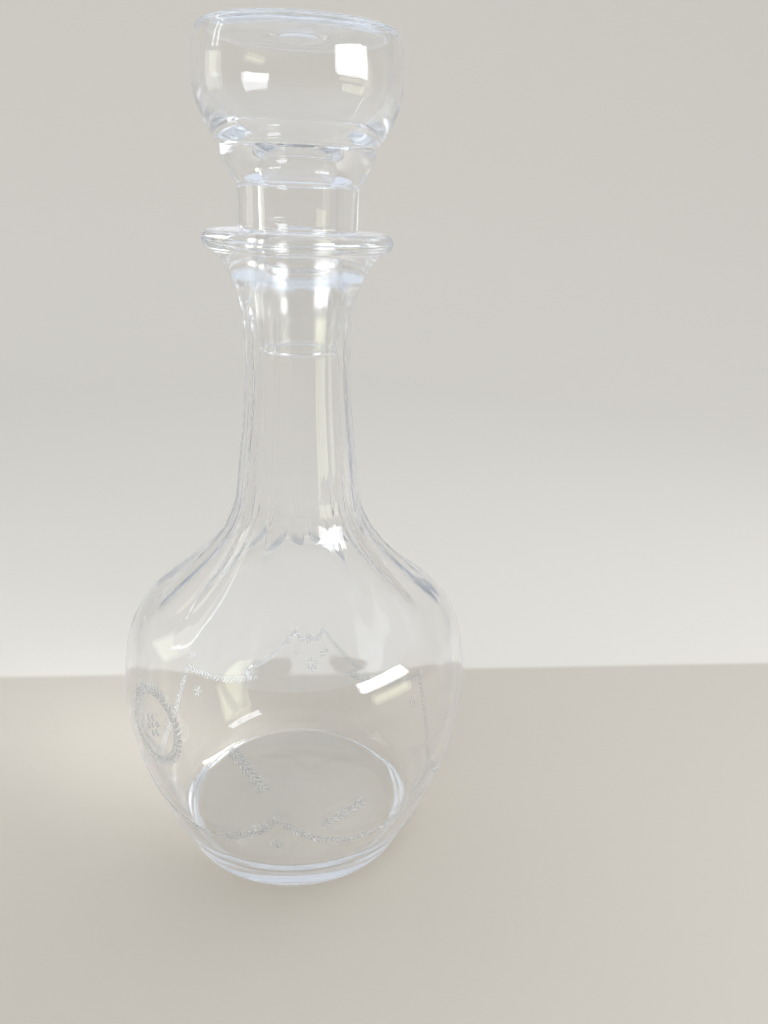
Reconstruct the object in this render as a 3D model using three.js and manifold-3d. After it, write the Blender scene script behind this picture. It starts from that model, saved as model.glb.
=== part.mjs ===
import * as THREE from 'three';
import { mergeVertices } from 'three/addons/utils/BufferGeometryUtils.js';
import Module from 'manifold-3d';

// A cut glass carafe with a blown stopper. Millimetres, +Z up, standing on z = 0 with its axis on the
// origin. Its front faces -Y. A point of an outline is (radius, height).

// Bottle: foot and bulb
const footRadius = 41.9;
const footRingWidth = 8;
const footPunt = 1.6;
const footEdgeRound = 1.4;
const footLean = THREE.MathUtils.degToRad(28.6);
const footHandle = 33;
const bulbRadius = 60.6;
const bulbHeight = 61;
const bulbHandleBelow = 8.1;
const bulbHandleAbove = 28;

// Bottle: shoulder, where the outline turns from bulging to hollow, and neck
const shoulderRadius = 45.1;
const shoulderHeight = 98.5;
const shoulderLean = THREE.MathUtils.degToRad(48.5);
const shoulderHandleBelow = 11.9;
const shoulderHandleAbove = 17.9;
const neckFootRadius = 20.5;
const neckFootHeight = 133.7;
const neckFootHandle = 13.7;
const waistRadius = 17;
const waistHeight = 176.2;
const waistHandle = 13;

// Bottle: lip, a rounded ring on the flared end of the neck
const lipRadius = 29;
const lipThickness = 5.6;
const lipTopHeight = 215.5;
const flareLean = THREE.MathUtils.degToRad(46);
const flareHandle = 13;

// Bottle: glass thickness and the ground seat of the stopper
const wall = 3.6;
const floorThickness = 8;
const floorCorner = 7;
const mouthRadius = 14.4;
const mouthChamfer = 0.7;
const seatTaper = THREE.MathUtils.degToRad(1.7);
const seatDepth = 37;

// Flutes: flat panels cut round the shoulder and neck, which run out of the glass at both ends. They
// start below the turn of the shoulder and stop below the underside of the lip.
const fluteCount = 12;
const firstRidge = THREE.MathUtils.degToRad(4.4);
const fluteFootDrop = 6.5;
const fluteTopDrop = 7.9;
const fluteRun = 14;
const fluteClearance = 1.8;
const ridgeTrim = 0.02;

// Stopper: ground plug and the collar that covers the mouth
const seatClearance = 0.3;
const plugLength = 36;
const plugEdgeRound = 1.8;
const collarRadius = 18.1;
const collarHeight = 13;
const collarEdgeRound = 0.9;

// Stopper: knop, the thick glass that swells from the collar to a groove under the head
const knopRadius = 23.1;
const knopHeight = 9.4;
const knopFootLean = THREE.MathUtils.degToRad(69);
const knopFootHandle = 2.3;
const knopTopLean = THREE.MathUtils.degToRad(12.5);
const knopTopHandle = 3.7;
const grooveDepth = 0.4;
const grooveHeight = 1.2;

// Stopper: blown head
const headFootRadius = 23.9;
const headFootLean = THREE.MathUtils.degToRad(29);
const headRadius = 30.1;
const headWidestHeight = 17;
const headHandle = 7;
const headTopRadius = 28.7;
const headHeight = 30.5;
const headEdgeRound = 2.4;
const headCrown = 0.5;

// Stopper: the blown hollow, narrow up to the knop and wide in the head
const plugWall = 2.6;
const knopBore = 11.8;
const knopBoreHeight = 4.7;
const headWall = 3;
const hollowFootHandle = 5;
const hollowHeadHandle = 10.5;
const dropRadius = 8;
const dropDepth = 1.8;

// How finely round forms are divided: sides of a turn, and how far a facet strays from its curve
const bottleSides = 72;
const cavitySides = 42;
const stopperSides = 54;
const boreSides = 30;
const outsideError = 0.08;
const insideError = 0.14;
const fluteRunSteps = 5;

const glass = { color: 0xe6ecee, roughness: 0.04, metalness: 0, transparent: true, opacity: 0.4 };

const wasm = await Module();
wasm.setup();

// A point of an outline at a distance from another, leaning outward from straight up
function leaning(point, distance, lean) {
  return new THREE.Vector2(
    point.x + distance * Math.sin(lean),
    point.y + distance * Math.cos(lean),
  );
}

function bend(from, fromHandle, toHandle, to) {
  return new THREE.CubicBezierCurve(from, fromHandle, toHandle, to);
}

function roundCorner(from, corner, to) {
  return new THREE.QuadraticBezierCurve(from, corner, to);
}

// Points along curves that join end to end, moved in from them by an inset. A step as long as s that
// turns by an angle strays from its curve by an eighth of s times the angle, which sets the steps.
function trace(curves, error, inset = 0) {
  const points = [];
  for (const curve of curves) {
    const turn = curve.getTangent(0).angleTo(curve.getTangent(1));
    const steps = Math.max(1, Math.ceil(Math.sqrt((curve.getLength() * turn) / (8 * error))));
    for (let i = points.length > 0 ? 1 : 0; i <= steps; i += 1) {
      const along = curve.getTangent(i / steps);
      const inward = new THREE.Vector2(-along.y, along.x);
      points.push(curve.getPoint(i / steps).addScaledVector(inward, inset));
    }
  }
  return points;
}

// The point where a rising outline reaches a height
function atHeight(outline, height) {
  const above = outline.findIndex(({ y }) => y >= height);
  const [low, high] = [outline[above - 1], outline[above]];
  return new THREE.Vector2(THREE.MathUtils.mapLinear(height, low.y, high.y, low.x, high.x), height);
}

function solidFrom(geometry) {
  geometry.deleteAttribute('normal');
  geometry.deleteAttribute('uv');
  const merged = mergeVertices(geometry);
  const triangles = [];
  const index = merged.index.array;
  for (let i = 0; i < index.length; i += 3) {
    const [a, b, c] = [index[i], index[i + 1], index[i + 2]];
    // The faces that meet the axis have no area on one side
    if (a !== b && b !== c && c !== a) triangles.push(a, b, c);
  }
  return new wasm.Manifold(new wasm.Mesh({
    numProp: 3,
    vertProperties: merged.attributes.position.array,
    triVerts: new Uint32Array(triangles),
  }));
}

// A solid of revolution whose outline starts and ends on the axis, with a corner at the first ridge
function revolve(outline, sides) {
  const geometry = new THREE.LatheGeometry(outline, sides, firstRidge);
  geometry.rotateX(Math.PI / 2);
  return solidFrom(geometry);
}

function glassPiece(name, solid) {
  const { vertProperties, triVerts } = solid.getMesh();
  const geometry = new THREE.BufferGeometry();
  geometry.setAttribute('position', new THREE.BufferAttribute(vertProperties, 3));
  geometry.setIndex(new THREE.BufferAttribute(triVerts, 1));
  geometry.computeVertexNormals();
  const piece = new THREE.Mesh(geometry, new THREE.MeshStandardMaterial(glass));
  piece.name = name;
  return piece;
}

// The curves of the bottle's outside, from the foot to the underside of the lip
function bottleCurves() {
  const foot = new THREE.Vector2(footRadius, footEdgeRound);
  const bulb = new THREE.Vector2(bulbRadius, bulbHeight);
  const shoulder = new THREE.Vector2(shoulderRadius, shoulderHeight);
  const neckFoot = new THREE.Vector2(neckFootRadius, neckFootHeight);
  const waist = new THREE.Vector2(waistRadius, waistHeight);
  const lipEnd = new THREE.Vector2(lipRadius - lipThickness / 2, lipTopHeight - lipThickness);
  const neckLean = Math.atan2(waistRadius - neckFootRadius, waistHeight - neckFootHeight);
  return {
    bulbLower: bend(foot, leaning(foot, footHandle, footLean), leaning(bulb, -bulbHandleBelow, 0), bulb),
    bulbUpper: bend(
      bulb,
      leaning(bulb, bulbHandleAbove, 0),
      leaning(shoulder, -shoulderHandleBelow, -shoulderLean),
      shoulder,
    ),
    shoulder: bend(
      shoulder,
      leaning(shoulder, shoulderHandleAbove, -shoulderLean),
      leaning(neckFoot, -neckFootHandle, neckLean),
      neckFoot,
    ),
    neck: bend(neckFoot, leaning(neckFoot, waistHandle, neckLean), leaning(waist, -waistHandle, 0), waist),
    flare: bend(waist, leaning(waist, waistHandle, 0), leaning(lipEnd, -flareHandle, flareLean), lipEnd),
  };
}

// From the middle of the foot, up the outside and over the lip to the axis
function bottleOutline(curves) {
  const lipRound = lipThickness / 2;
  const ringOutside = footRadius - footEdgeRound;
  const ringInside = ringOutside - footRingWidth;
  const punt = roundCorner(
    new THREE.Vector2(0, footPunt),
    new THREE.Vector2(ringInside / 2, footPunt),
    new THREE.Vector2(ringInside, 0),
  );
  const footEdge = roundCorner(
    new THREE.Vector2(ringOutside, 0),
    new THREE.Vector2(footRadius, 0),
    new THREE.Vector2(footRadius, footEdgeRound),
  );
  const lip = new THREE.EllipseCurve(
    lipRadius - lipRound, lipTopHeight - lipRound, lipRound, lipRound, -Math.PI / 2, Math.PI / 2,
  );
  return [
    ...trace([punt], outsideError),
    ...trace([footEdge, ...Object.values(curves), lip], outsideError),
    new THREE.Vector2(0, lipTopHeight),
  ];
}

// The inside follows the outside at the thickness of the wall, from the floor up to the ground seat
function cavityOutline({ bulbLower, bulbUpper, shoulder, neck }) {
  const inner = trace([bulbLower, bulbUpper, shoulder, neck], insideError, wall);
  const seatFoot = new THREE.Vector2(
    mouthRadius - seatDepth * Math.tan(seatTaper),
    lipTopHeight - seatDepth,
  );
  const cornerTop = atHeight(inner, floorThickness + floorCorner);
  const floorEnd = new THREE.Vector2(cornerTop.x - floorCorner * Math.tan(footLean), floorThickness);
  const corner = roundCorner(leaning(floorEnd, -floorCorner, Math.PI / 2), floorEnd, cornerTop);
  return [
    new THREE.Vector2(0, floorThickness),
    ...trace([corner], insideError),
    ...inner.filter(({ y }) => y > cornerTop.y && y < seatFoot.y),
    seatFoot,
    new THREE.Vector2(mouthRadius, lipTopHeight - mouthChamfer),
    new THREE.Vector2(mouthRadius + 2 * mouthChamfer, lipTopHeight + mouthChamfer),
    new THREE.Vector2(0, lipTopHeight + mouthChamfer),
  ];
}

// How deep a flute is at a distance in from its end, as a share of its full depth: steep where the
// face meets the glass and level at the end of the run-out
function fluteShare(distance) {
  const run = distance / fluteRun;
  if (run < 0) return 2 * run;
  return run > 1 ? 1 : run * (2 - run);
}

// The solid that cuts one flute: a flat face across the width, which follows the glass in its height
function fluteCutter({ bulbUpper, shoulder, neck, flare }) {
  const outside = trace([bulbUpper, shoulder, neck, flare], outsideError);
  const fluteFoot = shoulderHeight - fluteFootDrop;
  const fluteTop = flare.v3.y - fluteTopDrop;
  const faceAt = (height) => {
    const radius = atHeight(outside, height).x;
    const depth = radius * (1 - Math.cos(Math.PI / fluteCount)) + ridgeTrim;
    const share = Math.min(fluteShare(height - fluteFoot), fluteShare(fluteTop - height));
    return new THREE.Vector2(radius - depth * share, height);
  };
  const runHeights = [-fluteClearance];
  for (let i = 0; i <= fluteRunSteps; i += 1) runHeights.push((i / fluteRunSteps) * fluteRun);
  const heights = [
    ...runHeights.map((distance) => fluteFoot + distance),
    ...outside.map(({ y }) => y).filter((y) => y > fluteFoot + fluteRun && y < fluteTop - fluteRun),
    ...runHeights.map((distance) => fluteTop - distance).reverse(),
  ];
  const clear = bulbRadius + fluteClearance;
  const section = new THREE.Shape([
    ...heights.map(faceAt),
    new THREE.Vector2(clear, heights.at(-1)),
    new THREE.Vector2(clear, heights[0]),
  ]);
  const halfWidth = atHeight(outside, heights[0]).x * Math.tan(Math.PI / fluteCount) + fluteClearance;
  const geometry = new THREE.ExtrudeGeometry(section, { depth: 2 * halfWidth, bevelEnabled: false });
  return geometry.translate(0, 0, -halfWidth);
}

function cutFlutes(solid, cutter) {
  let fluted = solid;
  for (let i = 0; i < fluteCount; i += 1) {
    const turn = firstRidge + ((i + 0.5) * 2 * Math.PI) / fluteCount;
    const outward = new THREE.Vector3(Math.sin(turn), -Math.cos(turn), 0);
    const upward = new THREE.Vector3(0, 0, 1);
    const across = new THREE.Vector3().crossVectors(outward, upward);
    const placed = cutter.clone().applyMatrix4(new THREE.Matrix4().makeBasis(outward, upward, across));
    fluted = fluted.subtract(solidFrom(placed));
  }
  return fluted;
}

function makeBottle() {
  const curves = bottleCurves();
  const outside = cutFlutes(revolve(bottleOutline(curves), bottleSides), fluteCutter(curves));
  return glassPiece('bottle', outside.subtract(revolve(cavityOutline(curves), cavitySides)));
}

// Heights of the stopper's stages, each standing on the one below
const collarFoot = lipTopHeight + seatClearance;
const knopFoot = collarFoot + collarHeight;
const headFoot = knopFoot + knopHeight + grooveHeight;
const headTop = headFoot + headHeight;
const plugFoot = collarFoot - plugLength;

// The seat's radius at a height, less the clearance that the plug keeps to it
function plugRadiusAt(height) {
  return mouthRadius - (lipTopHeight - height) * Math.tan(seatTaper) - seatClearance;
}

function headCurves(inset) {
  const foot = new THREE.Vector2(headFootRadius, headFoot);
  const widest = new THREE.Vector2(headRadius - inset, headFoot + headWidestHeight);
  const edge = new THREE.Vector2(headTopRadius - inset, headTop - headEdgeRound);
  const crown = new THREE.Vector2(0, headTop - inset);
  const rim = new THREE.Vector2(headTopRadius - inset - headEdgeRound, headTop - headCrown - inset);
  return {
    lower: bend(foot, leaning(foot, headHandle, headFootLean), leaning(widest, -headHandle, 0), widest),
    upper: roundCorner(widest, leaning(widest, headHandle, 0), edge),
    corner: roundCorner(edge, new THREE.Vector2(edge.x, rim.y), rim),
    top: roundCorner(rim, new THREE.Vector2(rim.x / 2, crown.y), crown),
  };
}

function stopperOutline() {
  const plugEnd = new THREE.Vector2(plugRadiusAt(plugFoot), plugFoot + plugEdgeRound);
  const plugEdge = roundCorner(
    new THREE.Vector2(plugEnd.x - plugEdgeRound, plugFoot),
    new THREE.Vector2(plugEnd.x, plugFoot),
    plugEnd,
  );
  const collarEdge = roundCorner(
    new THREE.Vector2(collarRadius - collarEdgeRound, collarFoot),
    new THREE.Vector2(collarRadius, collarFoot),
    new THREE.Vector2(collarRadius, collarFoot + collarEdgeRound),
  );
  const collarTop = new THREE.Vector2(collarRadius, knopFoot);
  const knopTop = new THREE.Vector2(knopRadius, knopFoot + knopHeight);
  const knop = bend(
    collarTop,
    leaning(collarTop, knopFootHandle, knopFootLean),
    leaning(knopTop, -knopTopHandle, knopTopLean),
    knopTop,
  );
  const groove = new THREE.Vector2(knopRadius - grooveDepth, knopTop.y + grooveHeight / 2);
  return [
    new THREE.Vector2(0, plugFoot),
    ...trace([plugEdge], outsideError),
    new THREE.Vector2(plugRadiusAt(lipTopHeight), collarFoot),
    ...trace([collarEdge], outsideError),
    ...trace([knop], outsideError),
    groove,
    ...trace(Object.values(headCurves(0)), outsideError),
  ];
}

// The blown hollow, open at the foot of the plug, with the drop of glass left under the crown
function hollowOutline() {
  const plugBore = plugRadiusAt(plugFoot) - plugWall;
  const boreTop = new THREE.Vector2(knopBore, knopFoot + knopBoreHeight);
  const { upper, corner, top } = headCurves(headWall);
  const opening = bend(
    boreTop,
    leaning(boreTop, hollowFootHandle, 0),
    leaning(upper.v0, -hollowHeadHandle, 0),
    upper.v0,
  );
  const drop = roundCorner(
    new THREE.Vector2(dropRadius, top.v2.y),
    new THREE.Vector2(dropRadius / 2, top.v2.y - dropDepth),
    new THREE.Vector2(0, top.v2.y - dropDepth),
  );
  return [
    new THREE.Vector2(0, plugFoot - plugEdgeRound),
    new THREE.Vector2(plugBore, plugFoot - plugEdgeRound),
    new THREE.Vector2(plugBore, plugFoot + plugEdgeRound),
    ...trace([opening, upper, corner], insideError),
    ...trace([drop], insideError),
  ];
}

function makeStopper() {
  const outside = revolve(stopperOutline(), stopperSides);
  return glassPiece('stopper', outside.subtract(revolve(hollowOutline(), boreSides)));
}

const carafe = new THREE.Group();
carafe.add(makeBottle(), makeStopper());

export default carafe;
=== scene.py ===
"""Looks of a cut glass carafe with a hollow blown stopper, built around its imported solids.

Blender works in metres, in the frame of the solids: +Z up, the foot on z = 0, the axis on the
origin and the front towards -Y. The pieces are drawn in millimetres and turned to metres where
their mesh is made. An azimuth is counted from the front towards +X, seen from above.
"""

import logging
import math
from dataclasses import dataclass, field
from enum import Enum
from typing import Any

import bpy
import numpy as np
from bpy.types import Material, Node, NodeSocket, NodeTree, Object
from mathutils import Matrix, Vector


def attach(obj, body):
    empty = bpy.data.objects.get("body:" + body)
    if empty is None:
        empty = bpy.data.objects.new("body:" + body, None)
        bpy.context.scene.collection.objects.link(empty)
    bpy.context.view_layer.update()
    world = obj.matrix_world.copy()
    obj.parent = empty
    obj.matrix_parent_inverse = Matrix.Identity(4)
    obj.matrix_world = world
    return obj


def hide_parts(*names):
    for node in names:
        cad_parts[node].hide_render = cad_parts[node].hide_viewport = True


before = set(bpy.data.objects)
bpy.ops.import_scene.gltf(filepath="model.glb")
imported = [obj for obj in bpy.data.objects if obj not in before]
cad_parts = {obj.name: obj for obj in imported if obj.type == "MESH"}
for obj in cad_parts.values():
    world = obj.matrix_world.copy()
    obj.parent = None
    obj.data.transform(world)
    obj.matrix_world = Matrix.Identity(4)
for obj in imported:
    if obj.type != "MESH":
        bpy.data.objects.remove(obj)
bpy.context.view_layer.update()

MM = 0.001
log = logging.getLogger("carafe")

Point = tuple[float, float]
Colour = tuple[float, float, float, float]


def linear(hex_colour: str) -> Colour:
    """Turns an sRGB hex colour to linear light.

    Args:
        hex_colour: Six hex digits.

    Returns:
        Red, green, blue and an alpha of 1.
    """
    parts = [int(hex_colour[i : i + 2], 16) / 255 for i in (0, 2, 4)]
    light = [p / 12.92 if p <= 0.04045 else ((p + 0.055) / 1.055) ** 2.4 for p in parts]
    return (light[0], light[1], light[2], 1.0)


def add_node(
    tree: NodeTree,
    kind: str,
    settings: dict[str | int, Any] | None = None,
    links: dict[str | int, NodeSocket] | None = None,
) -> Node:
    """Adds a node with its settings and links.

    Args:
        tree: The node tree that takes it.
        kind: The node's type without the "ShaderNode" that it starts with.
        settings: Values by the name or number of an input, or else the name of a property.
        links: Sockets that feed the node, by the name or number of an input.

    Returns:
        The node.
    """
    node = tree.nodes.new("ShaderNode" + kind)
    for name, value in (settings or {}).items():
        if isinstance(name, int) or name in node.inputs:
            node.inputs[name].default_value = value
        else:
            setattr(node, name, value)
    for name, socket in (links or {}).items():
        tree.links.new(socket, node.inputs[name])
    return node


def new_material(name: str) -> tuple[Material, NodeTree, NodeSocket]:
    """Makes a material whose node tree has nothing but the place on the object.

    Args:
        name: The material's name.

    Returns:
        The material, its tree and the place that patterns are drawn by.
    """
    material = bpy.data.materials.new(name)
    material.use_nodes = True
    tree = material.node_tree
    tree.nodes.clear()
    return material, tree, add_node(tree, "TexCoord").outputs["Object"]


# The mesh attribute that carries a ring's finish
GROUND = "ground"


class Surface(Enum):
    """How a ring of glass was finished, as the share of grinding that shows."""

    POLISHED = 0.0
    GROUND = 1.0


@dataclass(frozen=True)
class Unevenness:
    """An irregular pattern: how wide its features are, and how finely they break up."""

    size_mm: float
    detail: float
    breakup: float = 0.5

    def settings(self) -> dict[str | int, Any]:
        """The settings of the noise that draws it."""
        scale = 1 / (self.size_mm * MM)
        return {"Scale": scale, "Detail": self.detail, "Roughness": self.breakup}


@dataclass(frozen=True)
class BlownCrystal:
    """Crystal glass, blown and fire-polished, with cuts polished again and a ground taper.

    It gives the eye a clear body with a faint cool cast where it is thick, bright mirror lights,
    and slow ripples from the blowing that bend what shows through it. Where the glass is ground,
    it has a slight satin veil with fine rings from the grinding wheel.
    """

    name: str
    cast: str = "FEFEFE"
    ior: float = 1.53
    depth_colour: str = "EEF3F7"
    depth_density: float = 4.0
    shade: str = "FAFBFB"
    # A painted sheen gives the rims a faint glow, standing in for the sky light that thick glass
    # gathers where seen edge on
    rim: str = "E6EAF8"
    painted_rim_sheen_weight: float = 0.4
    painted_rim_sheen_roughness: float = 0.3
    ripple: Unevenness = Unevenness(size_mm=15.0, detail=1.0, breakup=0.35)
    ripple_depth_mm: float = 0.05
    # Faint smears of hands and drying that dull the polish here and there
    smear: Unevenness = Unevenness(size_mm=9.0, detail=4.0, breakup=0.6)
    smear_from: float = 0.45
    smear_full: float = 0.75
    smear_roughness: float = 0.018
    # Grinding grit is near 0.05 mm, too fine to show, so it is drawn eight times as coarse
    grit: Unevenness = Unevenness(size_mm=0.4, detail=2.0)
    grit_depth_mm: float = 0.003
    grit_roughness: float = 0.12
    # The grit is stretched round the piece, as the wheel turned about its axis
    grit_stretch: tuple[float, float, float] = (0.15, 0.15, 1.0)

    def build(self) -> Material:
        """Builds the material.

        Returns:
            The material.
        """
        material, tree, place = new_material(self.name)
        ground = add_node(tree, "Attribute", {"attribute_name": GROUND}).outputs["Fac"]
        ripple = add_node(tree, "TexNoise", self.ripple.settings(), {"Vector": place})
        rippled = add_node(
            tree, "Bump", {"Distance": self.ripple_depth_mm * MM}, {"Height": ripple.outputs[0]}
        )
        rings = add_node(tree, "Mapping", {"Scale": self.grit_stretch}, {"Vector": place})
        grit = add_node(tree, "TexNoise", self.grit.settings(), {"Vector": rings.outputs[0]})
        bumps = add_node(
            tree,
            "Bump",
            {"Distance": self.grit_depth_mm * MM},
            {"Height": grit.outputs[0], "Strength": ground, "Normal": rippled.outputs[0]},
        )
        smear = add_node(tree, "TexNoise", self.smear.settings(), {"Vector": place})
        smeared = add_node(
            tree,
            "MapRange",
            {
                "From Min": self.smear_from,
                "From Max": self.smear_full,
                "To Max": self.smear_roughness,
            },
            {"Value": smear.outputs[0]},
        )
        # The grit's roughness by the share of grinding, plus that of the smears
        roughness = add_node(
            tree,
            "Math",
            {"operation": "MULTIPLY_ADD", 1: self.grit_roughness},
            {0: ground, 2: smeared.outputs[0]},
        )
        glass = add_node(
            tree,
            "BsdfPrincipled",
            {
                "Base Color": linear(self.cast),
                "IOR": self.ior,
                "Transmission Weight": 1.0,
                # The sheen is painted rim light that lightens the glass where it is seen edge on
                "Sheen Weight": self.painted_rim_sheen_weight,
                "Sheen Roughness": self.painted_rim_sheen_roughness,
                "Sheen Tint": linear(self.rim),
            },
            {"Roughness": roughness.outputs[0], "Normal": bumps.outputs[0]},
        )
        # The lamps shine through the glass, so its shadow is as pale as that of thin glass
        clear = add_node(tree, "BsdfTransparent", {"Color": linear(self.shade)})
        path = add_node(tree, "LightPath")
        either = add_node(
            tree,
            "MixShader",
            links={0: path.outputs["Is Shadow Ray"], 1: glass.outputs[0], 2: clear.outputs[0]},
        )
        depth = add_node(
            tree,
            "VolumeAbsorption",
            {"Color": linear(self.depth_colour), "Density": self.depth_density},
        )
        add_node(
            tree, "OutputMaterial", links={"Surface": either.outputs[0], "Volume": depth.outputs[0]}
        )
        return material


@dataclass(frozen=True)
class EtchedCrystal:
    """Crystal glass whose surface was etched: matt, white and partly see-through.

    It gives the eye a pale veil whose grain shows where the etching bit less.
    """

    name: str = "etched_crystal"
    frost: str = "FAFBFC"
    roughness: float = 0.85
    see_through: float = 0.5
    # An etched grain is near 0.05 mm, too fine to show, so it is drawn ten times as coarse
    grain: Unevenness = Unevenness(size_mm=0.5, detail=3.0, breakup=0.7)
    grain_from: float = 0.3
    grain_full: float = 0.7
    grain_depth_mm: float = 0.05
    grain_strength: float = 0.4
    least_cover: float = 0.2
    most_cover: float = 0.6

    def build(self) -> Material:
        """Builds the material.

        Returns:
            The material.
        """
        material, tree, place = new_material(self.name)
        grain = add_node(tree, "TexNoise", self.grain.settings(), {"Vector": place})
        cover = add_node(
            tree,
            "MapRange",
            {
                "From Min": self.grain_from,
                "From Max": self.grain_full,
                "To Min": self.least_cover,
                "To Max": self.most_cover,
            },
            {"Value": grain.outputs[0]},
        )
        bump = add_node(
            tree,
            "Bump",
            {"Strength": self.grain_strength, "Distance": self.grain_depth_mm * MM},
            {"Height": grain.outputs[0]},
        )
        frost = add_node(
            tree,
            "BsdfPrincipled",
            {
                "Base Color": linear(self.frost),
                "Roughness": self.roughness,
                "Transmission Weight": self.see_through,
            },
            {"Alpha": cover.outputs[0], "Normal": bump.outputs[0]},
        )
        add_node(tree, "OutputMaterial", links={"Surface": frost.outputs[0]})
        return material


@dataclass(frozen=True)
class MattSweep:
    """Paper of a studio sweep, left uncoated and matt, a tone deeper underfoot than behind.

    It gives the eye a pale and even ground that takes a soft shadow and mirrors nothing.
    """

    name: str = "matt_sweep_paper"
    underfoot: str = "D6CCBE"
    behind: str = "EFE7DB"
    change_mm: float = 98.0
    blend_mm: float = 5.0

    def build(self) -> Material:
        """Builds the material.

        Returns:
            The material.
        """
        material, tree, place = new_material(self.name)
        parts = add_node(tree, "SeparateXYZ", links={0: place})
        share = add_node(
            tree,
            "MapRange",
            {
                "interpolation_type": "SMOOTHSTEP",
                "From Min": (self.change_mm - self.blend_mm / 2) * MM,
                "From Max": (self.change_mm + self.blend_mm / 2) * MM,
            },
            {"Value": parts.outputs["Y"]},
        )
        # A mix of colours has them at inputs 6 and 7 and its result at output 2
        tone = add_node(
            tree,
            "Mix",
            {"data_type": "RGBA", 6: linear(self.underfoot), 7: linear(self.behind)},
            {0: share.outputs[0]},
        )
        matt = add_node(tree, "BsdfDiffuse", links={"Color": tone.outputs[2]})
        add_node(tree, "OutputMaterial", links={"Surface": matt.outputs[0]})
        return material


def leaning(point: Point, distance: float, degrees: float) -> Point:
    """A point at a distance from another, in a direction that leans outward from straight up.

    Args:
        point: Radius and height of the first point.
        distance: How far to go, in millimetres.
        degrees: How far the direction leans outward.

    Returns:
        Radius and height of the second point.
    """
    lean = math.radians(degrees)
    return (point[0] + distance * math.sin(lean), point[1] + distance * math.cos(lean))


def bend(*stations: Point, steps: int) -> np.ndarray:
    """Points of a curve that rounds a corner, or leads from handle to handle.

    Args:
        stations: Where it starts, the corner or the two handles, and where it ends.
        steps: How many steps it has.

    Returns:
        Radius and height of each point.
    """
    t = np.linspace(0, 1, steps + 1)[:, None]
    last = len(stations) - 1
    return sum(
        math.comb(last, i) * (1 - t) ** (last - i) * t**i * np.array(station, float)
        for i, station in enumerate(stations)
    )


def straight(start: Point, end: Point, steps: int) -> np.ndarray:
    """Points of a straight stretch, one row each with radius and height."""
    return np.linspace(start, end, steps + 1)


def inset(points: np.ndarray, distance: float) -> np.ndarray:
    """Moves a rising outline in by a distance, square to itself.

    Args:
        points: Radius and height of each point.
        distance: How far in, in millimetres.

    Returns:
        The moved points.
    """
    along = np.gradient(points, axis=0)
    along /= np.linalg.norm(along, axis=1)[:, None]
    return points + distance * np.stack([-along[:, 1], along[:, 0]], axis=1)


def softer_least(a: np.ndarray, b: np.ndarray, softness: float) -> np.ndarray:
    """The lesser of two sizes, rounded where they cross.

    Args:
        a: The first size.
        b: The second size.
        softness: The difference below which the two blend.

    Returns:
        The rounded lesser size.
    """
    near = np.maximum(softness - np.abs(a - b), 0) / softness
    return np.minimum(a, b) - near**2 * softness / 4


@dataclass(frozen=True)
class Stop:
    """A point where curves of an outline join, with its lean and its handles' lengths."""

    at: Point
    lean: float = 0.0
    below: float = 0.0
    above: float = 0.0


def through(stops: list[Stop], steps: tuple[int, ...]) -> np.ndarray:
    """Points of the smooth curves that lead from stop to stop.

    Args:
        stops: The stops, from the lowest up.
        steps: How many steps each curve has.

    Returns:
        Radius and height of each point.
    """
    points = [np.array([stops[0].at], float)]
    for start, end, count in zip(stops, stops[1:], steps):
        first = leaning(start.at, start.above, start.lean)
        second = leaning(end.at, -end.below, end.lean)
        points.append(bend(start.at, first, second, end.at, steps=count)[1:])
    return np.vstack(points)


@dataclass
class Outline:
    """A turned piece's outline, a ring of glass at a time, from the axis round to the axis."""

    rings: list[Point] = field(default_factory=list)
    surfaces: list[Surface] = field(default_factory=list)
    # Rings closer than this, in millimetres, count as one
    closest: float = 1e-6

    def add(self, points: np.ndarray, surface: Surface = Surface.POLISHED) -> range:
        """Adds a stretch.

        Args:
            points: Its points. One where the outline already ends is left out.
            surface: How its rings were finished.

        Returns:
            The numbers of its rings.
        """
        first = len(self.rings)
        for radius, height in points:
            if self.rings and math.dist(self.rings[-1], (radius, height)) < self.closest:
                continue
            self.rings.append((float(radius), float(height)))
            self.surfaces.append(surface)
        return range(first, len(self.rings))


def link_mesh(name: str, points: np.ndarray, faces: list[tuple[int, ...]]) -> Object:
    """Makes a smooth mesh and links it to the scene.

    Args:
        name: The object's name.
        points: Points in metres.
        faces: The points of each face.

    Returns:
        The object.
    """
    mesh = bpy.data.meshes.new(name)
    mesh.from_pydata(points.tolist(), [], faces)
    mesh.polygons.foreach_set("use_smooth", [True] * len(faces))
    mesh.update()
    piece = bpy.data.objects.new(name, mesh)
    bpy.context.scene.collection.objects.link(piece)
    return piece


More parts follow.
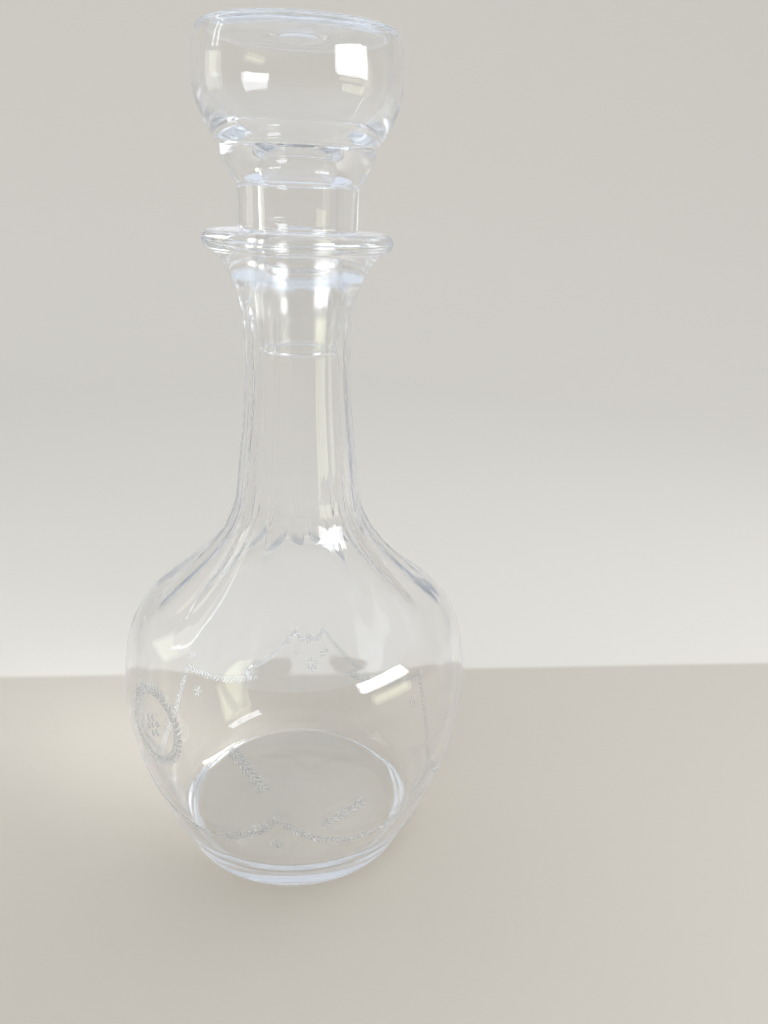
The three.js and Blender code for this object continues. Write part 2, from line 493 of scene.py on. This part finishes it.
def turned(
    name: str, radii: np.ndarray, heights: np.ndarray, azimuths: np.ndarray, surfaces: list[Surface]
) -> Object:
    """Makes a closed mesh of rings whose first and last are points on the axis.

    Args:
        name: The object's name.
        radii: Radius in millimetres by ring and azimuth.
        heights: Height in millimetres of each ring.
        azimuths: Azimuths in radians.
        surfaces: The finish of each ring.

    Returns:
        The object, linked to the scene.
    """
    rings, sides = radii.shape
    x = radii * np.sin(azimuths)
    y = -radii * np.cos(azimuths)
    z = np.broadcast_to(heights[:, None], radii.shape)
    inner = np.stack([x, y, z], axis=2)[1:-1].reshape(-1, 3)
    ends = np.array([[0, 0, heights[0]], [0, 0, heights[-1]]])
    points = np.vstack([inner, ends]) * MM
    first_end, last_end = len(inner), len(inner) + 1

    faces: list[tuple[int, ...]] = []
    for ring in range(rings - 1):
        for side in range(sides):
            after = (side + 1) % sides
            low, high = (ring - 1) * sides, ring * sides
            if ring == 0:
                faces.append((first_end, high + after, high + side))
            elif ring == rings - 2:
                faces.append((last_end, low + side, low + after))
            else:
                faces.append((low + side, low + after, high + after, high + side))
    piece = link_mesh(name, points, faces)
    shares = np.repeat([surface.value for surface in surfaces[1:-1]], sides)
    ground = piece.data.attributes.new(GROUND, "FLOAT", "POINT")
    ground.data.foreach_set("value", [*shares, surfaces[0].value, surfaces[-1].value])
    return piece


@dataclass(frozen=True)
class Bottle:
    """The carafe's bottle: a bulb on a thick foot, a fluted shoulder and neck, and a ring lip."""

    foot_radius: float = 41.9
    foot_ring: float = 8.0
    foot_punt: float = 1.6
    foot_round: float = 1.4
    foot_lean: float = 28.6
    foot_handle: float = 33.0
    bulb: Stop = Stop((60.6, 61.0), below=8.1, above=28.0)
    shoulder: Stop = Stop((45.1, 98.5), lean=-48.5, below=11.9, above=17.9)
    neck_foot: Point = (20.5, 133.7)
    neck_foot_below: float = 13.7
    neck_foot_above: float = 13.0
    waist: Stop = Stop((17.0, 176.2), below=13.0, above=13.0)
    lip_radius: float = 29.0
    lip_thickness: float = 5.6
    lip_top: float = 215.5
    flare_lean: float = 46.0
    flare_handle: float = 13.0
    # Steps of the outside's curves, from the foot up
    outside_steps: tuple[int, ...] = (56, 64, 64, 20, 56)
    lip_steps: int = 20
    wall: float = 3.6
    floor: float = 8.0
    floor_corner: float = 7.0
    # The inside takes every third ring of the outside, up to a little below the seat
    inside_stride: int = 3
    inside_gap: float = 1.0
    mouth_radius: float = 14.4
    mouth_round: float = 0.9
    seat_taper: float = 1.7
    seat_depth: float = 37.0
    flutes: int = 12
    first_ridge: float = 4.4
    flute_foot: float = 92.0
    flute_top: float = 202.0
    flute_run: float = 14.0
    ridge_softness: float = 0.22
    end_softness: float = 0.1
    # Azimuths of a flute's columns from its middle to its ridge, closer towards the ridge
    columns: tuple[float, ...] = (0, 2.7, 5.3, 7.7, 9.9, 11.7, 13.1, 14.0, 14.5, 14.8, 15.0)

    def outside(self) -> np.ndarray:
        """Draws the outside from the top of the foot's round to the underside of the lip.

        Returns:
            Radius and height of each point.
        """
        foot = (self.foot_radius, self.foot_round)
        lip_end = (self.lip_radius - self.lip_thickness / 2, self.lip_top - self.lip_thickness)
        # At its foot the neck leans straight towards its waist
        neck_lean = math.degrees(math.atan2(*np.subtract(self.waist.at, self.neck_foot)))
        stops = [
            Stop(foot, self.foot_lean, above=self.foot_handle),
            self.bulb,
            self.shoulder,
            Stop(self.neck_foot, neck_lean, self.neck_foot_below, self.neck_foot_above),
            self.waist,
            Stop(lip_end, self.flare_lean, below=self.flare_handle),
        ]
        return through(stops, self.outside_steps)

    def fluted(self, radii: np.ndarray, heights: np.ndarray, azimuths: np.ndarray) -> np.ndarray:
        """Cuts the flutes into rings of the outside.

        Args:
            radii: Radius of each ring.
            heights: Height of each ring.
            azimuths: Azimuths in radians.

        Returns:
            Radius by ring and azimuth.
        """
        step = 2 * math.pi / self.flutes
        off_middle = np.mod(azimuths - math.radians(self.first_ridge), step) - step / 2
        # A flute runs out steep where it meets the round glass and level at its full depth
        run = np.minimum(heights - self.flute_foot, self.flute_top - heights) / self.flute_run
        share = np.where(run < 0, 2 * run, np.where(run > 1, 1.0, run * (2 - run)))
        face = radii * (1 - (1 - math.cos(step / 2)) * share)
        here = face[:, None] / np.cos(off_middle)
        beside = face[:, None] / np.cos(step - np.abs(off_middle))
        cut = softer_least(here, beside, self.ridge_softness)
        return softer_least(np.broadcast_to(radii[:, None], cut.shape), cut, self.end_softness)

    def column_azimuths(self) -> np.ndarray:
        """Spreads the columns of the mesh over the flutes.

        Returns:
            Azimuths in radians.
        """
        half = [math.radians(c) for c in self.columns]
        columns = sorted({*half, *(-c for c in half[:-1])})
        step = 2 * math.pi / self.flutes
        first_middle = math.radians(self.first_ridge) + step / 2
        return np.array([first_middle + i * step + c for i in range(self.flutes) for c in columns])

    def add_foot(self, outline: Outline) -> None:
        """Adds the punt, the ring that the bottle stands on and its rounded edge.

        Args:
            outline: The outline that takes them.
        """
        ring_outside = self.foot_radius - self.foot_round
        ring_inside = ring_outside - self.foot_ring
        punt, half_punt = (0, self.foot_punt), (ring_inside / 2, self.foot_punt)
        outline.add(bend(punt, half_punt, (ring_inside, 0), steps=8))
        outline.add(straight((ring_inside, 0), (ring_outside, 0), steps=3), Surface.GROUND)
        foot_edge = (self.foot_radius, self.foot_round)
        outline.add(bend((ring_outside, 0), (self.foot_radius, 0), foot_edge, steps=6))

    def add_mouth(self, outline: Outline) -> Point:
        """Adds the lip, the mouth's edge and the ground seat of the stopper.

        Args:
            outline: The outline that takes them.

        Returns:
            Radius and height of the seat's foot.
        """
        lip_round = self.lip_thickness / 2
        turn = np.linspace(-math.pi / 2, math.pi / 2, self.lip_steps + 1)
        lip_middle = np.array([self.lip_radius - lip_round, self.lip_top - lip_round])
        outline.add(lip_middle + lip_round * np.stack([np.cos(turn), np.sin(turn)], axis=1))
        mouth = (self.mouth_radius, self.lip_top)
        mouth_outside = (self.mouth_radius + self.mouth_round, self.lip_top)
        mouth_inside = (self.mouth_radius, self.lip_top - self.mouth_round)
        outline.add(straight((float(lip_middle[0]), self.lip_top), mouth_outside, steps=5))
        outline.add(bend(mouth_outside, mouth, mouth_inside, steps=6))
        taper = math.tan(math.radians(self.seat_taper))
        seat_foot = (self.mouth_radius - self.seat_depth * taper, self.lip_top - self.seat_depth)
        outline.add(straight(mouth_inside, seat_foot, steps=24), Surface.GROUND)
        return seat_foot

    def add_inside(self, outline: Outline, outside: np.ndarray, top: float) -> None:
        """Adds the inside, which follows the outside down to the floor.

        Args:
            outline: The outline that takes it.
            outside: Radius and height of the outside's points.
            top: The height that it starts from.
        """
        inner = inset(outside, self.wall)
        corner_top = self.floor + self.floor_corner
        kept = inner[(inner[:, 1] > corner_top) & (inner[:, 1] < top - self.inside_gap)]
        outline.add(kept[:: -self.inside_stride])
        corner_radius = float(np.interp(corner_top, inner[:, 1], inner[:, 0]))
        floor_end = corner_radius - self.floor_corner * math.tan(math.radians(self.foot_lean))
        floor_start = (floor_end - self.floor_corner, self.floor)
        corner = (floor_end, self.floor)
        outline.add(bend((corner_radius, corner_top), corner, floor_start, steps=9))
        outline.add(straight(floor_start, (0, self.floor), steps=5))

    def build(self) -> Object:
        """Builds the bottle's mesh.

        Returns:
            The object.
        """
        outline = Outline()
        self.add_foot(outline)
        outside = self.outside()
        above_foot = outline.add(outside)
        seat_foot = self.add_mouth(outline)
        self.add_inside(outline, outside, seat_foot[1])

        azimuths = self.column_azimuths()
        rings = np.array(outline.rings)
        radii = np.repeat(rings[:, :1], len(azimuths), axis=1)
        cut = slice(above_foot.start, above_foot.stop)
        radii[cut] = self.fluted(rings[cut, 0], rings[cut, 1], azimuths)
        return turned("bottle_glass", radii, rings[:, 1], azimuths, outline.surfaces)

    def dress(self, piece: Object) -> None:
        """Gives the bottle its glass and lets it stand for the solid.

        Args:
            piece: The bottle's object.
        """
        piece.data.materials.append(BlownCrystal("blown_crystal_cut_and_polished").build())
        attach(piece, "bottle")
        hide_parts("bottle")


@dataclass(frozen=True)
class Stopper:
    """The hollow blown stopper: a ground plug, a collar, a thick knop and a flat-topped head."""

    mouth_radius: float = 14.4
    lip_top: float = 215.5
    seat_taper: float = 1.7
    seat_clearance: float = 0.3
    plug_length: float = 36.0
    plug_round: float = 1.8
    collar_radius: float = 18.1
    collar_height: float = 13.0
    collar_round: float = 0.9
    knop_radius: float = 23.1
    knop_height: float = 9.4
    knop_foot_lean: float = 69.0
    knop_foot_handle: float = 2.3
    knop_top_lean: float = 12.5
    knop_top_handle: float = 3.7
    groove_depth: float = 0.4
    groove_height: float = 1.2
    head_foot_radius: float = 23.9
    head_foot_lean: float = 29.0
    head_radius: float = 30.1
    head_widest: float = 17.0
    head_handle: float = 7.0
    head_top_radius: float = 28.7
    head_height: float = 30.5
    head_round: float = 2.4
    head_crown: float = 0.5
    plug_wall: float = 2.6
    head_wall: float = 3.0
    knop_bore: float = 11.8
    knop_bore_height: float = 4.7
    hollow_foot_handle: float = 5.0
    hollow_head_handle: float = 10.5
    drop_radius: float = 8.0
    drop_depth: float = 1.8
    # The ceiling's first ring stands off the drop by this much
    drop_gap: float = 1.0
    ripple: Unevenness = Unevenness(size_mm=11.0, detail=1.0, breakup=0.35)
    sides: int = 144

    @property
    def knop_foot(self) -> float:
        """Height of the knop's foot."""
        return self.lip_top + self.seat_clearance + self.collar_height

    def plug_radius(self, height: float) -> float:
        """The plug's radius at a height."""
        taper = math.tan(math.radians(self.seat_taper))
        return self.mouth_radius - (self.lip_top - height) * taper - self.seat_clearance

    def head(self, wall: float) -> list[np.ndarray]:
        """Draws the head from its foot over its edge to the axis.

        Args:
            wall: How far in the outline is moved, in millimetres.

        Returns:
            Its lower side, its upper side, its rounded edge and its top.
        """
        foot_height = self.knop_foot + self.knop_height + self.groove_height
        top = foot_height + self.head_height
        foot = (self.head_foot_radius, foot_height)
        widest = (self.head_radius - wall, foot_height + self.head_widest)
        edge = (self.head_top_radius - wall, top - self.head_round)
        rim = (self.head_top_radius - wall - self.head_round, top - self.head_crown - wall)
        crown = (0.0, top - wall)
        foot_end = leaning(foot, self.head_handle, self.head_foot_lean)
        lower = bend(foot, foot_end, leaning(widest, -self.head_handle, 0), widest, steps=30)
        upper = bend(widest, leaning(widest, self.head_handle, 0), edge, steps=16)
        corner = bend(edge, (edge[0], rim[1]), rim, steps=10)
        return [lower, upper, corner, bend(rim, (rim[0] / 2, crown[1]), crown, steps=20)]

    def add_hollow(self, outline: Outline, bore_foot: Point) -> None:
        """Adds the blown hollow, from the drop of glass under the crown down to the plug's foot.

        Args:
            outline: The outline that takes it.
            bore_foot: Radius and height of the hollow's lower end.
        """
        bore_top = (self.knop_bore, self.knop_foot + self.knop_bore_height)
        upper, corner, top = self.head(self.head_wall)[1:]
        widest = (float(upper[0][0]), float(upper[0][1]))
        ceiling = float(top[-1][1])
        drop, drop_edge = (0.0, ceiling - self.drop_depth), (self.drop_radius, ceiling)
        outline.add(bend(drop, (self.drop_radius / 2, drop[1]), drop_edge, steps=14))
        outline.add(top[top[:, 0] > self.drop_radius + self.drop_gap][::-1])
        outline.add(corner[::-1])
        outline.add(upper[::-1])
        head_end = leaning(widest, -self.hollow_head_handle, 0)
        bore_end = leaning(bore_top, self.hollow_foot_handle, 0)
        outline.add(bend(widest, head_end, bore_end, bore_top, steps=30))
        outline.add(straight(bore_top, bore_foot, steps=24))

    def build(self) -> Object:
        """Builds the stopper's mesh.

        Returns:
            The object.
        """
        collar_foot = self.lip_top + self.seat_clearance
        plug_foot = collar_foot - self.plug_length
        plug_end = (self.plug_radius(plug_foot), plug_foot + self.plug_round)
        plug_under = (plug_end[0] - self.plug_round, plug_foot)
        bore = plug_end[0] - self.plug_wall
        bore_foot = (bore, plug_foot + self.plug_round / 2)

        outline = Outline()
        self.add_hollow(outline, bore_foot)
        outline.add(bend(bore_foot, (bore, plug_foot), plug_under, steps=5))
        outline.add(bend(plug_under, (plug_end[0], plug_foot), plug_end, steps=6))
        plug_top = (self.plug_radius(self.lip_top), collar_foot)
        outline.add(straight(plug_end, plug_top, steps=26), Surface.GROUND)
        under = (self.collar_radius - self.collar_round, collar_foot)
        edge = (self.collar_radius, collar_foot + self.collar_round)
        outline.add(straight(plug_top, under, steps=3))
        outline.add(bend(under, (self.collar_radius, collar_foot), edge, steps=6))
        collar_top = (self.collar_radius, self.knop_foot)
        outline.add(straight(edge, collar_top, steps=10))
        knop_top = (self.knop_radius, self.knop_foot + self.knop_height)
        knop_start = leaning(collar_top, self.knop_foot_handle, self.knop_foot_lean)
        knop_end = leaning(knop_top, -self.knop_top_handle, self.knop_top_lean)
        outline.add(bend(collar_top, knop_start, knop_end, knop_top, steps=20))
        head = self.head(0)
        groove = (self.knop_radius - self.groove_depth, knop_top[1] + self.groove_height / 2)
        outline.add(bend(knop_top, groove, tuple(head[0][0]), steps=6))
        for stretch in head:
            outline.add(stretch)

        azimuths = np.linspace(0, 2 * math.pi, self.sides, endpoint=False)
        rings = np.array(outline.rings)
        radii = np.repeat(rings[:, :1], self.sides, axis=1)
        return turned("stopper_glass", radii, rings[:, 1], azimuths, outline.surfaces)

    def dress(self, piece: Object) -> None:
        """Gives the stopper its glass and lets it stand for the solid.

        Args:
            piece: The stopper's object.
        """
        glass = BlownCrystal("blown_crystal_fire_polished", ripple=self.ripple)
        piece.data.materials.append(glass.build())
        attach(piece, "stopper")
        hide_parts("stopper")


class Spray(Enum):
    """The shapes of a leafy stem, as points across and up from its root in millimetres."""

    DROOPING = ((0.0, 0.0), (2.6, -4.0), (6.0, -7.8), (10.0, -13.5))
    RISING = ((0.0, 0.0), (4.0, 2.9), (8.2, 5.3), (12.6, 7.6))


@dataclass
class EtchedMarks:
    """Etched strokes and leaves, each a closed sliver that lies on the bulb."""

    outside: np.ndarray
    base_mm: float = 0.02
    crest_mm: float = 0.1
    # Stations of a leaf as shares of its length, and the power that sets its belly off its middle
    leaf_stations: tuple[float, ...] = (0.0, 0.12, 0.3, 0.5, 0.72, 0.9, 1.0)
    leaf_belly: float = 0.8
    leaf_slimness: float = 0.42
    leaf_turn: float = 0.75
    # A flower's eye and petals, as shares of the petal's length and of the eye
    eye_share: float = 0.32
    petal_start: float = 1.25
    petal_slimness: float = 0.62
    stem_mm: float = 0.55
    stem_step_mm: float = 1.2
    fewest_stem_steps: int = 4
    # Distance between pairs of leaves, and how far ahead the stem's heading is taken
    spacing_mm: float = 1.7
    look_ahead_mm: float = 0.3
    points: list[tuple[float, float, float]] = field(default_factory=list)
    faces: list[tuple[int, ...]] = field(default_factory=list)

    def radius_at(self, height: float) -> float:
        """The bulb's radius at a height."""
        return float(np.interp(height, self.outside[:, 1], self.outside[:, 0]))

    def per_degree(self, height: float) -> float:
        """Millimetres that a degree of azimuth spans at a height."""
        return math.radians(self.radius_at(height))

    def further(self, point: Point, turn: float, distance: float) -> Point:
        """The azimuth and height at a distance from a point, in a direction in radians."""
        across, up = distance * math.cos(turn), distance * math.sin(turn)
        return (point[0] + across / self.per_degree(point[1]), point[1] + up)

    def add_point(self, azimuth: float, height: float, lift: float) -> None:
        """Adds a point over the bulb.

        Args:
            azimuth: Azimuth in degrees.
            height: Height in millimetres.
            lift: Distance out from the glass, in millimetres.
        """
        # The bulb's slope is taken over a millimetre of height
        slope = self.radius_at(height + 0.5) - self.radius_at(height - 0.5)
        length = math.hypot(1, slope)
        out = self.radius_at(height) + lift / length
        up = height - lift * slope / length
        turn = math.radians(azimuth)
        self.points.append((out * math.sin(turn) * MM, -out * math.cos(turn) * MM, up * MM))

    def add_sliver(self, middle: list[Point], widths: list[float]) -> None:
        """Adds a sliver that starts and ends in a point.

        Args:
            middle: Azimuth and height of each station of its middle line.
            widths: Its width at each station but the two ends, in millimetres.
        """
        first = len(self.points)
        self.add_point(*middle[0], self.base_mm)
        for i, width in enumerate(widths, start=1):
            azimuth, height = middle[i]
            per_degree = self.per_degree(height)
            run = (middle[i + 1][0] - middle[i - 1][0]) * per_degree
            rise = middle[i + 1][1] - middle[i - 1][1]
            length = math.hypot(run, rise)
            across, up = -rise / length * width / 2, run / length * width / 2
            self.add_point(azimuth + across / per_degree, height + up, self.base_mm)
            self.add_point(azimuth, height, self.crest_mm)
            self.add_point(azimuth - across / per_degree, height - up, self.base_mm)
            self.add_point(azimuth, height, self.base_mm)
        self.add_point(*middle[-1], self.base_mm)
        last = len(self.points) - 1
        # Each station has four points: left, crest, right and the middle of its base
        stations = [range(first + 1 + 4 * i, first + 5 + 4 * i) for i in range(len(widths))]
        for i in range(4):
            after = (i + 1) % 4
            self.faces.append((first, stations[0][i], stations[0][after]))
            self.faces.append((last, stations[-1][after], stations[-1][i]))
            for here, beyond in zip(stations, stations[1:]):
                self.faces.append((here[i], beyond[i], beyond[after], here[after]))

    def add_leaf(self, root: Point, turn: float, length: float, width: float) -> None:
        """Adds a leaf.

        Args:
            root: Azimuth and height of its foot.
            turn: Its direction in radians, counted from level towards up.
            length: Its length in millimetres.
            width: Its greatest width in millimetres.
        """
        middle = [self.further(root, turn, length * share) for share in self.leaf_stations]
        bellies = [math.sin(math.pi * s**self.leaf_belly) for s in self.leaf_stations[1:-1]]
        self.add_sliver(middle, [width * belly for belly in bellies])

    def add_flower(self, centre: Point, petals: int, petal_length: float) -> None:
        """Adds a flower with a round eye.

        Args:
            centre: Azimuth and height of its eye.
            petals: How many petals it has.
            petal_length: The length of a petal in millimetres.
        """
        eye = petal_length * self.eye_share
        for i in range(petals):
            turn = math.pi / 2 + 2 * math.pi * i / petals
            root = self.further(centre, turn, eye * self.petal_start)
            self.add_leaf(root, turn, petal_length, petal_length * self.petal_slimness)
        # The eye is a leaf as wide as it is long
        self.add_leaf(self.further(centre, math.pi, eye), 0.0, 2 * eye, 2 * eye)

    def add_leafy_stem(self, azimuths: np.ndarray, heights: np.ndarray, leaf: float) -> None:
        """Adds a stem with pairs of leaves.

        Args:
            azimuths: Azimuth of each point along the stem, in degrees.
            heights: Height of each point in millimetres.
            leaf: Length of a leaf in millimetres.
        """
        per_degree = self.per_degree(float(heights.mean()))
        steps = np.hypot(np.diff(azimuths) * per_degree, np.diff(heights))
        along = np.concatenate([[0], np.cumsum(steps)])

        def point_at(distance: float) -> Point:
            """The azimuth and height at a distance along the stem."""
            azimuth, height = (np.interp(distance, along, line) for line in (azimuths, heights))
            return (float(azimuth), float(height))

        count = max(self.fewest_stem_steps, round(along[-1] / self.stem_step_mm))
        middle = [point_at(at) for at in np.linspace(0, along[-1], count + 1)]
        self.add_sliver(middle, [self.stem_mm] * (count - 1))
        for i in range(round(along[-1] / self.spacing_mm)):
            at = (i + 0.5) * self.spacing_mm
            here, beyond = point_at(at), point_at(at + self.look_ahead_mm)
            heading = math.atan2(beyond[1] - here[1], (beyond[0] - here[0]) * per_degree)
            for turn in (-self.leaf_turn, self.leaf_turn):
                self.add_leaf(here, heading + turn, leaf, leaf * self.leaf_slimness)

    def build(self, name: str) -> Object:
        """Makes the marks one mesh and returns the object."""
        return link_mesh(name, np.array(self.points), self.faces)


@dataclass(frozen=True)
class Garland:
    """The frosted garland round the bulb: swags with flowers, and a wreath with leafy sprays."""

    outside: np.ndarray
    swags: int = 6
    first_peak: float = -6.0
    peak_height: float = 43.5
    trough_height: float = 29.0
    # A swag hangs from two peaks, steep beside them and level in the middle
    swag_power: float = 2.2
    swag_points: int = 41
    flower_shift: float = -0.9
    flower_height: float = 31.0
    petals: int = 6
    petal: float = 1.9
    leaf: float = 2.6
    # The wreath and the sprays have larger petals and leaves than the swags
    wreath: Point = (-49.0, 67.0)
    wreath_radius: float = 12.0
    wreath_points: int = 61
    wreath_petal_scale: float = 1.7
    wreath_leaf_scale: float = 1.15
    # Azimuth of a spray's root from the wreath's middle, and its height
    drooping_root: Point = (29.4, 71.0)
    rising_root: Point = (56.2, 39.5)
    spray_steps: int = 24
    spray_leaf_scale: float = 1.3

    def build_swags(self) -> Object:
        """Builds the leafy swags.

        Returns:
            One object with all of them.
        """
        marks = EtchedMarks(self.outside)
        share = np.linspace(0, 1, self.swag_points)
        drop = 1 - np.abs(2 * share - 1) ** self.swag_power
        heights = self.peak_height - (self.peak_height - self.trough_height) * drop
        for i in range(self.swags):
            azimuths = self.first_peak + (i + share) * (360 / self.swags)
            marks.add_leafy_stem(azimuths, heights, self.leaf)
        return marks.build("etched_swags")

    def build_flowers(self) -> Object:
        """Builds the flower under each peak and the one in the wreath.

        Returns:
            One object with all of them.
        """
        marks = EtchedMarks(self.outside)
        for i in range(self.swags):
            azimuth = self.first_peak + self.flower_shift + i * 360 / self.swags
            marks.add_flower((azimuth, self.flower_height), self.petals, self.petal)
        marks.add_flower(self.wreath, self.petals, self.petal * self.wreath_petal_scale)
        return marks.build("etched_flowers")

    def build_wreaths(self) -> Object:
        """Builds the wreath.

        Returns:
            Its object.
        """
        marks = EtchedMarks(self.outside)
        azimuth, height = self.wreath
        turn = np.linspace(-math.pi / 2, 1.5 * math.pi, self.wreath_points)
        azimuths = azimuth + self.wreath_radius * np.cos(turn) / marks.per_degree(height)
        heights = height + self.wreath_radius * np.sin(turn)
        marks.add_leafy_stem(azimuths, heights, self.leaf * self.wreath_leaf_scale)
        return marks.build("etched_wreaths")

    def build_sprays(self) -> Object:
        """Builds the two sprays that follow the wreath.

        Returns:
            One object with both.
        """
        marks = EtchedMarks(self.outside)
        sprays = ((Spray.DROOPING, self.drooping_root), (Spray.RISING, self.rising_root))
        for spray, root in sprays:
            curve = bend(*spray.value, steps=self.spray_steps)
            azimuths = self.wreath[0] + root[0] + curve[:, 0] / marks.per_degree(root[1])
            heights = root[1] + curve[:, 1]
            marks.add_leafy_stem(azimuths, heights, self.leaf * self.spray_leaf_scale)
        return marks.build("etched_sprays")

    def dress(self, pieces: list[Object]) -> None:
        """Frosts the marks and lets them move with the bottle.

        Args:
            pieces: The marks' objects.
        """
        frost = EtchedCrystal().build()
        for piece in pieces:
            piece.data.materials.append(frost)
            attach(piece, "bottle")


@dataclass(frozen=True)
class Lamp:
    """A soft upright lamp that faces the carafe's axis.

    Its azimuth is in degrees, its distance, height and size in metres, and its power in watts.
    """

    name: str
    azimuth: float
    distance: float
    middle_height: float
    width: float
    height: float
    power: float
    tint: str = "F4F8FF"

    def place(self) -> None:
        """Adds the lamp to the scene."""
        lamp = bpy.data.lights.new(self.name, "AREA")
        lamp.shape = "RECTANGLE"
        lamp.size, lamp.size_y = self.width, self.height
        lamp.energy = self.power
        lamp.color = linear(self.tint)[:3]
        holder = bpy.data.objects.new(self.name, lamp)
        azimuth = math.radians(self.azimuth)
        out = Vector((math.sin(azimuth), -math.cos(azimuth), 0))
        holder.location = out * self.distance + Vector((0, 0, self.middle_height))
        holder.rotation_mode = "QUATERNION"
        holder.rotation_quaternion = (-out).to_track_quat("-Z", "Y")
        holder.visible_camera = False
        bpy.context.scene.collection.objects.link(holder)


# The main lamp, a low one that the bulb mirrors, and two faint ones at the left
LAMPS = (
    Lamp("soft_right", azimuth=58, distance=0.75, middle_height=0.395,
         width=0.49, height=0.26, power=3.8),
    Lamp("low_right", azimuth=60, distance=0.75, middle_height=0.085,
         width=0.36, height=0.13, power=0.48, tint="E8EDCB"),
    Lamp("strip_left", azimuth=-100, distance=0.6, middle_height=0.49,
         width=0.03, height=0.18, power=0.08),
    Lamp("fill_left", azimuth=-101, distance=0.45, middle_height=0.26,
         width=0.15, height=0.18, power=0.13, tint="EFF3E2"),
)


@dataclass(frozen=True)
class Studio:
    """A pale sweep that rises all round, soft lamps, and the camera. Lengths are in metres."""

    floor_gap: float = 0.00005
    floor_radius: float = 0.75
    floor_rings: int = 4
    sweep_run: float = 0.9
    sweep_height: float = 1.1
    sweep_rings: int = 24
    sweep_sides: int = 96
    camera_distance: float = 0.2667
    camera_height: float = 0.2271
    pitch: float = 20.96
    yaw: float = 6.34
    roll: float = -2.34
    focal_pixels: float = 830.0
    long_side_pixels: float = 1024.0
    sensor_mm: float = 36.0
    nearest: float = 0.01
    farthest: float = 20.0
    sky: str = "DEE7F3"
    sky_strength: float = 1.0
    mirror_bounces: int = 100
    all_bounces: int = 128

    def build(self) -> None:
        """Sets up the sweep, the world, the lamps and the camera."""
        self.build_sweep()
        self.build_world()
        for lamp in LAMPS:
            lamp.place()
        self.build_camera()
        self.build_light_paths()

    def build_sweep(self) -> None:
        """Builds the floor and the round sweep that rises from it."""
        count = self.floor_rings
        rings: list[Point] = [(self.floor_radius * i / count, 0.0) for i in range(1, count + 1)]
        for angle in np.linspace(0, math.pi / 2, self.sweep_rings)[1:]:
            radius = self.floor_radius + self.sweep_run * math.sin(angle)
            rings.append((radius, self.sweep_height * (1 - math.cos(angle))))
        sides = self.sweep_sides
        turn = np.linspace(0, 2 * math.pi, sides, endpoint=False)
        points = [(0.0, 0.0, -self.floor_gap)]
        for radius, height in rings:
            lift = height - self.floor_gap
            points += [(radius * math.cos(a), radius * math.sin(a), lift) for a in turn]
        faces: list[tuple[int, ...]] = [(0, 1 + s, 1 + (s + 1) % sides) for s in range(sides)]
        for ring in range(len(rings) - 1):
            low, high = 1 + ring * sides, 1 + (ring + 1) * sides
            for side in range(sides):
                after = (side + 1) % sides
                faces.append((low + side, high + side, high + after, low + after))
        sweep = link_mesh("sweep", np.array(points), faces)
        sweep.data.materials.append(MattSweep().build())

    def build_world(self) -> None:
        """Lights the open top of the sweep with an even sky."""
        world = bpy.data.worlds.new("sky")
        world.use_nodes = True
        tree = world.node_tree
        tree.nodes.clear()
        light = {"Color": linear(self.sky), "Strength": self.sky_strength}
        sky = add_node(tree, "Background", light)
        add_node(tree, "OutputWorld", links={"Surface": sky.outputs[0]})
        bpy.context.scene.world = world

    def build_camera(self) -> None:
        """Places the camera as it stood in the photograph."""
        pitch, yaw, roll = (math.radians(a) for a in (self.pitch, self.yaw, self.roll))
        forward = Vector(
            (math.sin(yaw) * math.cos(pitch), math.cos(yaw) * math.cos(pitch), -math.sin(pitch))
        )
        level_right = Vector((math.cos(yaw), -math.sin(yaw), 0))
        level_down = forward.cross(level_right)
        right = math.cos(roll) * level_right + math.sin(roll) * level_down
        down = -math.sin(roll) * level_right + math.cos(roll) * level_down
        turn = Matrix((right, -down, -forward)).transposed().to_4x4()
        place = Matrix.Translation((0, -self.camera_distance, self.camera_height))
        data = bpy.data.cameras.new("camera")
        data.sensor_fit = "AUTO"
        data.sensor_width = self.sensor_mm
        data.lens = self.focal_pixels / self.long_side_pixels * data.sensor_width
        data.clip_start, data.clip_end = self.nearest, self.farthest
        camera = bpy.data.objects.new("camera", data)
        camera.matrix_world = place @ turn
        bpy.context.scene.collection.objects.link(camera)
        bpy.context.scene.camera = camera

    def build_light_paths(self) -> None:
        """Lets light turn often enough inside the thick glass that it comes out again."""
        cycles = bpy.context.scene.cycles
        cycles.glossy_bounces = self.mirror_bounces
        cycles.transmission_bounces = self.all_bounces
        cycles.max_bounces = self.all_bounces
        cycles.transparent_max_bounces = self.all_bounces


def main() -> None:
    """Builds and dresses each piece, then the studio around them."""
    logging.basicConfig(level=logging.INFO, format="%(name)s: %(message)s")
    bpy.context.scene.view_settings.view_transform = "Standard"
    bottle = Bottle()
    for maker in (bottle, Stopper()):
        piece = maker.build()
        maker.dress(piece)
        log.info("%s: %d faces", piece.name, len(piece.data.polygons))
    garland = Garland(bottle.outside())
    marks = [
        garland.build_swags(),
        garland.build_flowers(),
        garland.build_wreaths(),
        garland.build_sprays(),
    ]
    garland.dress(marks)
    for piece in marks:
        log.info("%s: %d faces", piece.name, len(piece.data.polygons))
    Studio().build()
    log.info("studio set up")


if __name__ == "__main__":
    main()
